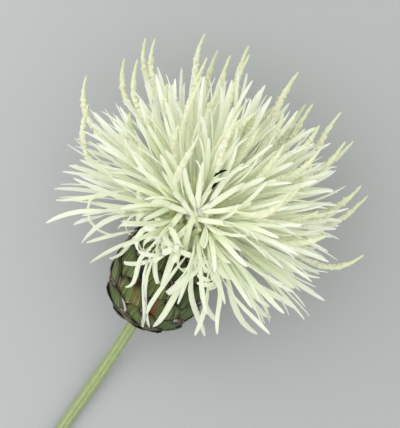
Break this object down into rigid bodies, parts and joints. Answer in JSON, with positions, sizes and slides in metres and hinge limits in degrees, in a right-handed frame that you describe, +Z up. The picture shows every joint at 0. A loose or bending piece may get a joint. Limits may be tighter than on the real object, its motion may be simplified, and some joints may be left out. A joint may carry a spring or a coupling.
{
  "type": "knapweed flower",
  "caption": "Cut knapweed flower lying on its side: a furrowed stalk, a round cup of overlapping bracts and a shaggy head of pale yellow florets.",
  "frame": {"origin": "centre of the flower's footprint on the surface it lies on", "axes": "+X from the cut end of the stalk to the head, +Z up from the surface, +Y to the head's left"},
  "size_m": [0.1176, 0.065, 0.0522],
  "materials": {
    "stalk": "matt green stalk with pale ridges and fine down",
    "bracts": "satin dark green scales with pale papery margins",
    "outer_petals": "soft translucent pale green-white petals",
    "inner_petals": "soft translucent pale yellow petals"
  },
  "bodies": {
    "root": {"stalk": "stalk", "bract_cup": "bracts", "outer_florets": "outer_petals", "inner_florets": "inner_petals"}
  },
  "joints": []
}
